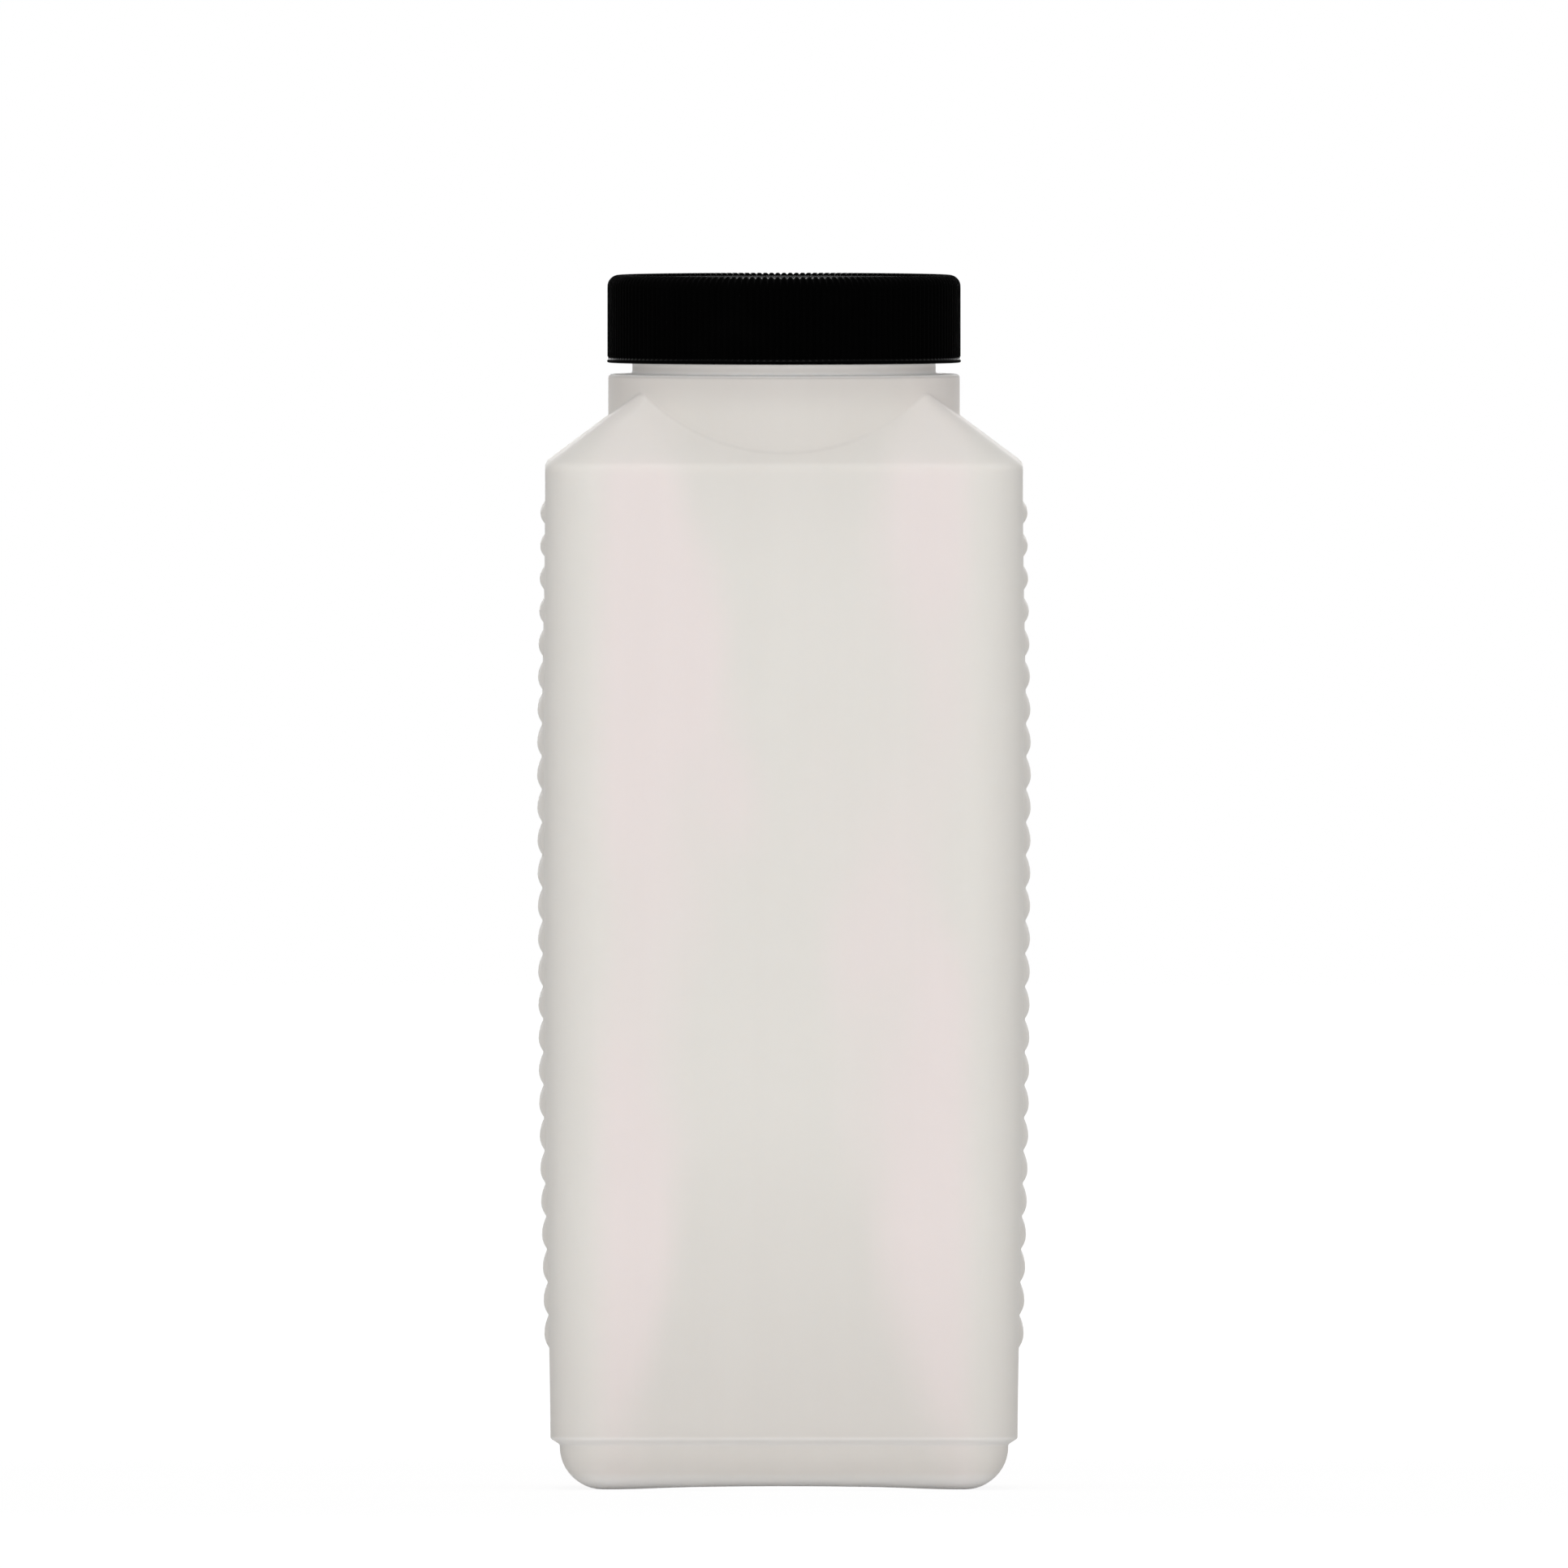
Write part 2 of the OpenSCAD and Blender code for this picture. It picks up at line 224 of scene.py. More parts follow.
def bottleColumns():
    # a column's point on a ring is (half size - radius) * straight share + radius * corner share
    b = bottle
    run = b["depth"] / 2 - b["corner"]
    tip = b["ribLength"] / 2
    roundEnd = tip - b["ribEnd"] * np.array([0, 0.06, 0.15, 0.27, 0.42, 0.6, 0.8, 1])
    half = np.concatenate([[run, run - 0.8, tip + 0.35], roundEnd, [16, 11, 6, 2.5, 0.8]]) / run
    side = np.concatenate([-half, [0], half[::-1]])
    face = np.linspace(-1, 1, wallColumns)
    turn = np.radians(90 * np.arange(1, arcColumns + 1) / (arcColumns + 1))
    one, none = np.ones(wallColumns), np.zeros(wallColumns)
    arc = np.ones(arcColumns)
    straight = np.concatenate([
        np.column_stack([one, side]), np.column_stack([arc, arc]),
        np.column_stack([-face, one]), np.column_stack([-arc, arc]),
        np.column_stack([-one, -side]), np.column_stack([-arc, -arc]),
        np.column_stack([face, -one]), np.column_stack([arc, -arc])])
    cos, sin = np.cos(turn), np.sin(turn)
    cornered = np.concatenate([
        np.column_stack([one, none]), np.column_stack([cos, sin]),
        np.column_stack([none, one]), np.column_stack([-sin, cos]),
        np.column_stack([-one, none]), np.column_stack([-cos, -sin]),
        np.column_stack([none, -one]), np.column_stack([sin, -cos])])
    return straight, cornered


straightShare, cornerShare = bottleColumns()
columnCount = len(straightShare)
evenAngles = 2 * math.pi * (np.arange(columnCount) - wallColumns // 2) / columnCount


def ringPoints(z, halfX, halfY, radius, swell=0.0, arch=0.0):
    # rounded rectangles, bulged by swell in the middle of each wall and lifted by arch between the corners
    x = (halfX - radius) * straightShare[:, 0] + radius * cornerShare[:, 0]
    y = (halfY - radius) * straightShare[:, 1] + radius * cornerShare[:, 1]
    u, v = (x / halfX) ** 2, (y / halfY) ** 2
    return np.stack(np.broadcast_arrays(
        x * (1 + swell / halfX * (1 - v)), y * (1 + swell / halfY * (1 - u)),
        z + arch * np.maximum(0, 1 - u * v / bottle["archEnd"])), axis=-1)


def baseRings(inset, steps=13):
    # a quarter circle from the foot up to the base's wall:
    # out = radius * (sin a - 1), up = radius * (1 - cos a)
    b = bottle
    turn = np.radians(np.linspace(0, 90, steps))[:, None]
    out = (b["baseRadius"] - inset) * np.sin(turn) - b["baseRadius"]
    halfX = b["width"] / 2 - b["taper"] - b["baseStep"] + out
    halfY = b["depth"] / 2 - b["taper"] - b["baseStep"] + out
    fade = np.linspace(1, 0, steps)[:, None] ** 2
    return ringPoints(b["baseRadius"] - (b["baseRadius"] - inset) * np.cos(turn), halfX, halfY,
                      b["corner"] - b["baseStep"] + out, 0.0, b["footArch"] * fade)


def footRings(inset):
    # from the middle of the underside out to the foot: height = arch + push up * (1 - s^2),
    # let down to the foot's own height over the outer half
    b = bottle
    halfX = b["width"] / 2 - b["taper"] - b["baseStep"] - b["baseRadius"] - b["footWidth"]
    halfY = b["depth"] / 2 - b["taper"] - b["baseStep"] - b["baseRadius"] - b["footWidth"]
    foot = ringPoints(np.array([[inset]]), halfX, halfY,
                      b["corner"] - b["baseStep"] - b["baseRadius"], 0.0, b["footArch"])
    s = np.array([0.06, 0.18, 0.34, 0.5, 0.64, 0.76, 0.86, 0.94, 1.0])[:, None]
    rings = np.repeat(foot, len(s), axis=0)
    rings[:, :, :2] *= s[:, :, None]
    dome = inset + b["footArch"] + b["pushUp"] * (1 - s * s)
    rings[:, :, 2] = dome + (foot[0, :, 2] - inset - b["footArch"]) * smoothStep((s - 0.5) / 0.5)
    return rings, [0, 0, inset + b["footArch"] + b["pushUp"]]


def stepRings(inset):
    # the step between base and wall: out = step * (3f^2 - 2f^3) at the share f of its height
    b = bottle
    f = np.array([0, 0.14, 0.3, 0.5, 0.7, 0.86])[:, None]
    u = smoothStep(f)
    out = b["baseStep"] * (u - 1) - b["taper"] - inset
    return ringPoints(b["baseHeight"] + b["stepHeight"] * f, b["width"] / 2 + out,
                      b["depth"] / 2 + out, b["corner"] + b["baseStep"] * (u - 1) - inset)


def wallRings(z, inset):
    # the walls lean in evenly towards the base, and swell out by a smooth step up and a smooth step down
    b = bottle
    top = b["baseHeight"] + b["stepHeight"]
    lean = b["taper"] * (b["height"] - z) / (b["height"] - top)
    full = smoothStep((z - b["baseHeight"]) / (b["swellFull"] * b["height"] - b["baseHeight"]))
    full = full * (1 - smoothStep((z - b["swellEnd"] * b["height"]) / ((1 - b["swellEnd"]) * b["height"])))
    return ringPoints(z, b["width"] / 2 - lean - inset, b["depth"] / 2 - lean - inset,
                      b["corner"] - inset, b["swell"] * full)


def ribbedRings():
    # rib height = out * (1 - v^2 - e^2): v runs across a rib, drawn in by the square root of 1 - e^2,
    # and e is 0 along the rib and 1 at its rounded tip
    b = bottle
    number = np.arange(b["ribCount"])
    low = smoothStep((b["ribCount"] - 1 - number) / b["ribsNarrowing"])
    width = b["ribNarrow"] + (b["ribBroad"] - b["ribNarrow"]) * low
    crest = b["ribLow"] + number * b["ribPitch"]
    below = width * (0.5 - b["ribLean"] * low)
    above = width * (0.5 + b["ribLean"] * low)
    v = np.array([-1, -0.86, -0.62, -0.32, 0, 0.32, 0.62, 0.86, 1])
    reach = np.where(v < 0, below[:, None], above[:, None]) * v
    onSide = (cornerShare[:, 1] == 0) & (np.abs(cornerShare[:, 0]) == 1)
    across = np.abs(straightShare[:, 1]) * (b["depth"] / 2 - b["corner"])
    e = np.where(onSide, np.clip((across - b["ribLength"] / 2 + b["ribEnd"]) / b["ribEnd"], 0, 1), 1)
    narrowed = np.maximum(np.sqrt(1 - e * e), b["ribTip"])
    narrowed = np.where(onSide & (across <= b["ribLength"] / 2 + 0.1), narrowed, 1)
    z = crest[:, None, None] + reach[:, :, None] * narrowed
    height = np.maximum(0, 1 - (v[:, None] * narrowed) ** 2 - e * e) * onSide
    gapZ = crest + (above + b["ribPitch"] - np.roll(below, -1)) / 2
    gapZ[-1] = crest[-1] + above[-1] + b["ribRunOff"]
    z = np.concatenate([z, np.broadcast_to(gapZ[:, None, None], (len(crest), 1, columnCount))], axis=1)
    height = np.broadcast_to(height, (len(crest),) + height.shape)
    height = np.concatenate([height, np.zeros((len(crest), 1, columnCount))], axis=1)
    rings = wallRings(z.reshape(-1, columnCount), 0.0)
    rings[:, :, 0] += b["ribOut"] * height.reshape(-1, columnCount) * np.sign(cornerShare[:, 0])
    return rings


def shoulderLine(inset):
    # each column of the shoulder is a straight line: point = start + slope * height above the wall's top
    b = bottle
    sideAngle, faceAngle = math.radians(b["sideSlope"]), math.radians(b["faceSlope"])
    halfX = b["width"] / 2 - inset / math.sin(sideAngle)
    halfY = b["depth"] / 2 - inset / math.sin(faceAngle)
    radius = b["corner"] - b["innerCorner"] * inset
    shrink = (b["corner"] - b["hipRadius"]) / (b["collarHeight"] / b["hipShare"])
    start = np.array([halfX - radius, halfY - radius]) * straightShare + radius * cornerShare
    slope = np.array([shrink - 1 / math.tan(sideAngle), shrink - 1 / math.tan(faceAngle)]) * straightShare
    return start, slope - shrink * cornerShare


def shoulderRings(inset, collarR, rounding, steps):
    # wall edge (parabola), straight shoulder, and a rounded crease where it meets the collar's cylinder
    b = bottle
    start, slope = shoulderLine(inset)
    edge, drop = b["shoulderEdge"], inset / 2
    rise = edge * math.sin(math.radians(b["sideSlope"]))
    u = np.linspace(0, 1, steps)[:, None, None]
    low = wallRings(np.array([[b["height"] - drop - edge]]), inset)
    top = start + slope * (rise - drop)
    edgeXY = low[:, :, :2] + (top - low[:, :, :2]) * u * u
    edgeZ = b["height"] - drop - edge * (1 - u) ** 2 + rise * u * u
    edgeRings = np.concatenate([edgeXY, np.broadcast_to(edgeZ, edgeXY.shape[:2] + (1,))], axis=-1)

    # height at which a line meets the cylinder: |start + slope * up| = collar radius
    along = (slope * slope).sum(1)
    mixed = (start * slope).sum(1)
    up = (-mixed - np.sqrt(mixed ** 2 - along * ((start * start).sum(1) - collarR ** 2))) / along
    meet = start + slope * up[:, None]
    angle = np.unwrap(np.arctan2(meet[:, 1], meet[:, 0]))
    f = np.linspace(0, 1, steps + 3)[1:, None]
    climb = (rise - drop) + (up - rounding - rise + drop) * f
    slopeRings = np.concatenate([start + slope * climb[:, :, None],
                                 (b["height"] + climb)[:, :, None]], axis=-1)

    # the crease is a parabola from the line through the meeting point on to the cylinder
    first = slopeRings[-1]
    knee = np.column_stack([meet, b["height"] + up])
    last = np.column_stack([meet, b["height"] + up + rounding])
    t = np.linspace(0, 1, 6)[1:, None, None]
    creaseRings = first * (1 - t) ** 2 + 2 * knee * t * (1 - t) + last * t * t
    return np.concatenate([edgeRings, slopeRings, creaseRings]), angle, last[:, 2]


def collarRings(angle, fromZ, toZ, collarR, steps):
    # rings on the collar's cylinder, whose points slide round until they are evenly spaced
    f = np.linspace(0, 1, steps)[1:, None]
    turn = angle + (evenAngles - angle) * f
    return np.stack([collarR * np.cos(turn), collarR * np.sin(turn), fromZ + (toZ - fromZ) * f], axis=-1)


def turnedRings(profile, thread=None):
    # a profile of (radius, height) turned round the axis, with a thread's ridge added to the radius
    r, z, turn = np.broadcast_arrays(profile[:, :1], profile[:, 1:], evenAngles)
    if thread:
        r = r + threadRidge(turn, z, thread)
    return np.stack([r * np.cos(turn), r * np.sin(turn), z], axis=-1)


def makeBottle(finish):
    # one closed surface: out from the middle of the underside, up the outside, over the rim
    # and down the inside
    b = bottle
    wall, edge = b["wall"], b["collarEdge"]
    collarR, grooveR, finishR, boreR = b["collar"] / 2, b["groove"] / 2, b["finish"] / 2, b["bore"] / 2
    wallFoot = b["baseHeight"] + b["stepHeight"]
    collarZ = b["height"] + b["collarHeight"]
    rimZ = collarZ + b["neckHeight"]
    flareZ = collarZ + b["grooveHeight"] + finishR - grooveR
    footOut, middleOut = footRings(0.0)
    plainHeights = [wallFoot, 10.4, 13.0, 17.5, 22.0, b["ribLow"] - b["ribBroad"] + 1.5]
    plainWall = wallRings(np.array(plainHeights)[:, None], 0.0)
    shoulder, angle, creaseZ = shoulderRings(0.0, collarR, b["crease"], 8)
    collar = collarRings(angle, creaseZ, collarZ - edge, collarR, 7)
    groove = turnedRings(np.concatenate([
        arcPoints(collarR - edge, collarZ - edge, edge, 15, 90, 6),
        [[grooveR + 1.6, collarZ], [grooveR + 0.5, collarZ + 0.03], [grooveR + 0.12, collarZ + 0.18],
         [grooveR, collarZ + 0.55], [grooveR, collarZ + 1.6], [grooveR, flareZ - 1.5],
         [grooveR + 0.15, flareZ - 1.15], [finishR - 0.15, flareZ - 0.15]]]))
    finishZ = np.arange(flareZ + 0.15, rimZ - b["rimEdge"] - 0.05, 0.25)
    threaded = turnedRings(np.column_stack([np.full(len(finishZ), finishR), finishZ]), b["thread"])

    # the inside, from the rim down through the bore and under the collar's ceiling
    ceiling = collarZ - b["collarWall"]
    innerR = collarR - b["collarWall"]
    mouth = turnedRings(np.concatenate([
        arcPoints(finishR - b["rimEdge"], rimZ - b["rimEdge"], b["rimEdge"], 0, 90, 6),
        arcPoints(boreR + b["rimEdge"], rimZ - b["rimEdge"], b["rimEdge"], 90, 180, 5),
        [[boreR, rimZ - 3], [boreR, ceiling + 3], [boreR, ceiling + 1.1],
         [boreR + 0.3, ceiling + 0.4], [boreR + 1.2, ceiling], [innerR - edge - 1.5, ceiling]],
        arcPoints(innerR - edge, ceiling - edge, edge, 90, 0, 5)]))
    innerShoulder, innerAngle, innerZ = shoulderRings(wall, innerR, b["innerCrease"], 5)
    innerCollar = collarRings(innerAngle, innerZ, ceiling - edge, innerR, 5)[:-1]
    innerHeights = np.linspace(wallFoot, b["height"] - wall / 2 - b["shoulderEdge"], 17)[:-1]
    innerWall = wallRings(innerHeights[:, None], wall)
    footIn, middleIn = footRings(wall)
    outside = [footOut, baseRings(0.0), stepRings(0.0), plainWall, ribbedRings(), shoulder, collar,
               groove, threaded, mouth]
    inside = [innerCollar, innerShoulder, innerWall, stepRings(wall), baseRings(wall), footIn]
    grid = np.concatenate(outside + [part[::-1] for part in inside])
    gridPiece("moulded_bottle", grid, middleOut, middleIn, "bottle", "bottle",
              finish)


bottleFinish = dict(                # colours from 0 to 255, lengths and heights in metres
    warm=(235, 224, 221), cool=(228, 224, 218), shade=(198, 193, 189), bright=(252, 250, 248),
    roughness=0.60, gloss=0.12, softness=0.40, softDepth=0.003,
    patch=0.04, streak=0.004, peel=0.004, grain=0.00035,                  # sizes of the patterns
    grainHeight=0.000004, peelHeight=0.00003, streakHeight=0.000008,
    seam=0.0005, seamUnder=0.0004, seamBeside=0.00006,                    # half width, and heights
    seamUnderX=(0.024, 0.027), seamUnderZ=(0.0035, 0.005), seamBesideX=(0.036, 0.039),
    # the tinted flanks of a broad wall: where they come nearest, how they part, and their edges
    waist=0.118, spread=0.24, waver=0.03, flankStart=(-0.003, 0.009), flankEnd=(0.030, 0.037),
    tintPatch=(0.34, 0.56), tintTop=(0.184, 0.190), tintTopLess=0.7,
    # painted shade: how much darker the tone is towards the bottom (low, base), in the middle of the broad
    # walls away from the waist (middle) and on the collar under the cap (edge, front, lip), and where each
    # of them starts and ends; drawn is the streaks' own darker tone
    low=0.25, lowEnd=(0.004, 0.050), base=0.07, baseEnd=(0.009, 0.013), lowStart=(0.001, 0.005),
    middle=0.17, middleStart=(0.045, 0.075), drawn=0.08,
    collarSide=(0.0322, 0.0328), collarBand=(0.1880, 0.1895, 0.2034, 0.2038),
    edge=0.35, edgeStart=(0.1955, 0.2030), front=0.15, frontStart=(0.80, 1.0),
    lip=0.32, lipBand=(0.2026, 0.2030, 0.2044, 0.2050),
    # painted light: how much lighter it is under the cap (stub) and at the foot's rounding (foot), a
    # painted highlight at the step (step), a painted glow under the cap (glow), and where
    stub=0.85, stubSide=(0.0318, 0.0323), stubBand=(0.2030, 0.2034, 0.2052, 0.2066),
    stubLowEnd=(0.2036, 0.2041), stubHigh=0.45, stubHighStart=(0.2046, 0.2052), glow=0.10,
    foot=0.6, footEnd=(0.0012, 0.0034), step=0.36, stepBand=(0.0077, 0.0085, 0.0091, 0.0099),
)


def naturalPolyethylene():
    # satin milky plastic: a tint that drifts from cool to warm, with painted shade towards the bottom, in
    # the middle of the broad walls and on the collar under the cap, and painted light under the cap and at
    # the foot, a painted highlight at the step and a painted glow under the cap;
    # height = fine skin + peel + streaks drawn up the walls + the mould seam
    f = bottleFinish
    material, tree = newMaterial("natural_polyethylene_skin")
    x, y, z = tree.axes()
    radius = maths("SQRT", x * x + y * y)
    cloud = tree.noise(f["patch"], 2.0, 0.5, (1, 1, 0.5))
    streak = tree.noise(f["streak"], 2.0, 0.5, (1, 1, 0.03))
    skin = tree.noise(f["grain"], 2.0, 0.6)
    peel = tree.noise(f["peel"], 1.0, 0.4)

    fromWaist = abs(z - f["waist"])
    flank = (abs(x) - fromWaist * f["spread"] + (cloud - 0.5) * f["waver"]).ramp(*f["flankStart"])
    tint = flank * (1 - abs(x).ramp(*f["flankEnd"])) * cloud.ramp(*f["tintPatch"])
    tint = tint * (1 - z.ramp(*f["tintTop"]) * f["tintTopLess"])
    colour = tree.blendColours(tint, fromScreen(f["cool"]), fromScreen(f["warm"]))

    collarSide = 1 - radius.ramp(*f["collarSide"])
    collar = collarSide * z.band(*f["collarBand"])
    # painted shade, darker towards the bottom of the walls and the base, where the floor sends up less
    # light
    low = (1 - z.ramp(*f["lowEnd"])) * f["low"] + (1 - z.ramp(*f["baseEnd"])) * f["base"]
    # painted shade in the middle of the broad walls, darker away from the waist, for the curved panels'
    # shading
    middle = (1 - flank) * fromWaist.ramp(*f["middleStart"]) * f["middle"]
    # painted shade on the collar under the cap: towards its top, at its front and on its lip in the cap's
    # shadow
    edge = collar * z.ramp(*f["edgeStart"]) * f["edge"]
    front = collar * (abs(y) / radius).ramp(*f["frontStart"]) * f["front"]
    lip = collarSide * z.band(*f["lipBand"]) * f["lip"]
    # all painted shade, except the streaks drawn up the walls, which are the plastic's own darker tone
    paintedShadeAndStreaks = low * z.ramp(*f["lowStart"]) + middle + edge + front + lip + streak * f["drawn"]
    colour = tree.blendColours(paintedShadeAndStreaks, colour, fromScreen(f["shade"]))

    # painted light on the neck stub, which lies in the cap's shadow
    under = (1 - radius.ramp(*f["stubSide"])) * z.band(*f["stubBand"])
    stub = 1 - z.ramp(*f["stubLowEnd"]) + z.ramp(*f["stubHighStart"]) * f["stubHigh"]
    # painted light on the foot's rounding, which faces down into shade
    foot = (1 - z.ramp(*f["footEnd"])) * f["foot"]
    # painted highlight along the step above the base
    paintedLight = under * stub * f["stub"] + foot + z.band(*f["stepBand"]) * f["step"]
    colour = tree.blendColours(paintedLight, colour, fromScreen(f["bright"]))
    paintedGlow = tree.blendColours(under, (0.0, 0.0, 0.0, 1.0), fromScreen(f["bright"]))      # painted glow under the cap, lit by emission though no lamp is there

    seamLine = 1 - (abs(y) / f["seam"]).ramp(0.0, 1.0)
    beneath = (1 - abs(x).ramp(*f["seamUnderX"])) * (1 - z.ramp(*f["seamUnderZ"]))
    beside = abs(x).ramp(*f["seamBesideX"])
    height = skin * f["grainHeight"] + peel * f["peelHeight"] + streak * f["streakHeight"]
    height = height + seamLine * (beneath * f["seamUnder"] + beside * f["seamBeside"])
    rough = f["roughness"] + (skin - 0.5) * 0.10 + (streak - 0.5) * 0.08
    # the painted glow under the cap goes to Emission Color, at the strength glow
    tree.end(tree.add("ShaderNodeBsdfPrincipled", {}, {
        "Base Color": colour, "Roughness": rough, "Normal": tree.relief(height),
        "Specular IOR Level": f["gloss"], "Subsurface Weight": f["softness"],
        "Subsurface Radius": (1.0, 0.92, 0.85), "Subsurface Scale": f["softDepth"],
        "Emission Color": paintedGlow, "Emission Strength": f["glow"]}))
    return material


makeBottle(naturalPolyethylene())


cap = dict(                         # millimetres, heights from the cap's seat
    diameter=64.5, height=15.9, top=1.8, wall=1.55, edge=2.1, panel=28.85, panelDepth=0.5, seat=205.6,
    ribs=164, ribColumns=6, ribDepth=0.45, ribFade=0.25, ribFlat=0.2,
    beadLow=-0.12, beadHeight=0.4, beadOut=0.05, beadGroove=0.5,
    thread=dict(start=207.7, pitch=4.2, turns=1.7, height=-0.95, footWidth=1.7, flank=0.6, runOut=0.07),
)


def capRings(points, ribShare, inward, thread=None):
    # points of the profile turned round the axis: point - rib depth * rib share * dip * inward,
    # where dip is 0 on a rib and 1 between two ribs
    c = cap
    count = c["ribs"] * c["ribColumns"]
    angle = 2 * math.pi * np.arange(count) / count
    phase = np.abs((np.arange(count) / c["ribColumns"] + 0.5) % 1 - 0.5)
    dip = (ribShare[:, None] > 0) * smoothStep((phase - c["ribFlat"]) / (0.5 - c["ribFlat"]))
    cut = ribShare[:, None] * dip * c["ribDepth"]
    r = points[:, :1] - cut * inward[:, :1]
    z = points[:, 1:] - cut * inward[:, 1:] + c["seat"]
    if thread:
        r = r + threadRidge(angle, z, thread)
    return np.stack([r * np.cos(angle), r * np.sin(angle), z, dip], axis=-1)


def plainPart(points):
    # profile points that the ribs leave alone
    return np.array(points, float), np.zeros(len(points)), np.tile([1.0, 0.0], (len(points), 1))


def makeCap(finish):
    # one closed surface: out under the roof, down the threaded inside, round the bead, up the skirt
    # and in over the top
    c = cap
    outer = c["diameter"] / 2
    innerR = outer - c["ribDepth"] - c["wall"]
    beadR, beadLow, beadTop = outer + c["beadOut"], c["beadLow"], c["beadHeight"]
    roof = c["height"] - c["top"]
    under = plainPart([[0.8, roof], [12, roof], [24, roof], [innerR - 0.2, roof], [innerR, roof - 0.2]])
    threadZ = np.arange(roof - 0.5, 0.7, -0.3)
    inside = plainPart(np.column_stack([np.full(len(threadZ), innerR), threadZ]))
    bead = plainPart([
        [innerR, 0.5], [innerR + 0.1, 0.2], [innerR + 0.4, beadLow],
        [beadR - 0.3, beadLow], [beadR - 0.08, beadLow + 0.06], [beadR, beadLow + 0.2],
        [beadR, beadTop - 0.14], [beadR - 0.05, beadTop - 0.04], [beadR - 0.17, beadTop],
        [outer - 0.1, beadTop + 0.03], [outer - 0.12, beadTop + 0.12]])

    # the ribs grow quickly over the plain band, and fade a little over the rounded edge
    start = beadTop + c["beadGroove"]
    skirtPoints = np.array([[outer - 0.12, start], [outer, start + 0.15], [outer, 5.0], [outer, 10.0],
                            [outer, c["height"] - c["edge"] - 0.3]])
    skirt = (skirtPoints, np.array([0.75, 1, 1, 1, 1.0]), np.tile([1.0, 0.0], (5, 1)))
    turn = np.radians(np.linspace(8, 90, 9))
    normal = np.column_stack([np.cos(turn), np.sin(turn)])
    roundPoints = np.array([outer - c["edge"], c["height"] - c["edge"]]) + c["edge"] * normal
    rounding = (roundPoints, 1 - c["ribFade"] * smoothStep((np.degrees(turn) - 20) / 70), normal)
    panelR, panelZ = c["panel"], c["height"] - c["panelDepth"]
    rimPoints = np.array([[panelR + 0.45, c["height"]], [panelR + 0.12, c["height"] - 0.01],
                          [panelR + 0.03, c["height"] - 0.09]])
    rim = (rimPoints, (1 - c["ribFade"]) * np.array([1, 0.95, 0.8]), np.tile([0.0, 1.0], (3, 1)))
    panel = plainPart([
        [panelR, panelZ + 0.04], [panelR - 0.12, panelZ], [24, panelZ], [12, panelZ], [3.2, panelZ],
        [2.7, panelZ - 0.05], [2.2, panelZ - 0.16], [0.75, panelZ - 0.18],      # the moulding gate's dimple
        [0.6, panelZ - 0.13], [0.45, panelZ - 0.04]])
    grid = np.concatenate([capRings(*under), capRings(*inside, thread=c["thread"]), capRings(*bead),
                           capRings(*skirt), capRings(*rounding), capRings(*rim), capRings(*panel)])
    gridPiece("ribbed_screw_cap", grid, [0, 0, c["seat"] + roof], [0, 0, c["seat"] + panelZ - 0.02],
              "cap", "screw_cap", finish)


capFinish = dict(                   # colours from 0 to 255, lengths and heights in metres
    colour=(2, 2, 2), dust=(7, 7, 7), rubbedAndSheen=(30, 30, 31), roughness=0.80, gloss=0.006,
    grain=0.0003, grainHeight=0.000012, wear=0.012, wearPatch=(0.50, 0.72), dusty=0.25,
    panelSheen=0.6, panelSide=(0.0284, 0.0288), panelStart=(0.2204, 0.2207),
    polish=1.1, polishRoughness=0.25,         # refractive index and roughness of the smooth places
    grooveBand=(0.20604, 0.20609, 0.20639, 0.20644), between=0.4, ribTops=(0.2192, 0.2205),
)


def blackPolypropylene():
    # deep black with a fine moulded grain: dusty in patches, paler on the top panel, partly rubbed wear and
    # partly a painted sheen, and smooth in the groove over the bead and between the ribs on the top edge
    f = capFinish
    material, tree = newMaterial("black_polypropylene_skin")
    x, y, z = tree.axes()
    radius = maths("SQRT", x * x + y * y)
    grain = tree.noise(f["grain"], 2.0, 0.6)
    wear = tree.noise(f["wear"], 3.0, 0.6).ramp(*f["wearPatch"])
    colour = tree.blendColours(wear * f["dusty"], fromScreen(f["colour"]), fromScreen(f["dust"]))
    # the top panel paler: a painted sheen over the whole panel, and rubbed wear in patches on top of it
    panel = (1 - radius.ramp(*f["panelSide"])) * z.ramp(*f["panelStart"])
    rubbedAndSheen = panel * (f["panelSheen"] + wear * (1 - f["panelSheen"]))
    colour = tree.blendColours(rubbedAndSheen, colour, fromScreen(f["rubbedAndSheen"]))
    dip = tree.add("ShaderNodeAttribute", {"attribute_name": "dip"}, out="Fac")
    smooth = z.band(*f["grooveBand"]) + dip * z.ramp(*f["ribTops"]) * f["between"]
    rough = f["roughness"] + (grain - 0.5) * 0.12 + wear * 0.08
    tree.end(tree.add("ShaderNodeBsdfPrincipled", {}, {
        "Base Color": colour, "Roughness": rough, "Normal": tree.relief(grain * f["grainHeight"]),
        "Specular IOR Level": f["gloss"], "Coat Weight": smooth, "Coat IOR": f["polish"],
        "Coat Roughness": f["polishRoughness"]}))
    return material


makeCap(blackPolypropylene())


disc = dict(radius=29.9, low=218.3, thickness=1.4, edge=0.25)     # millimetres


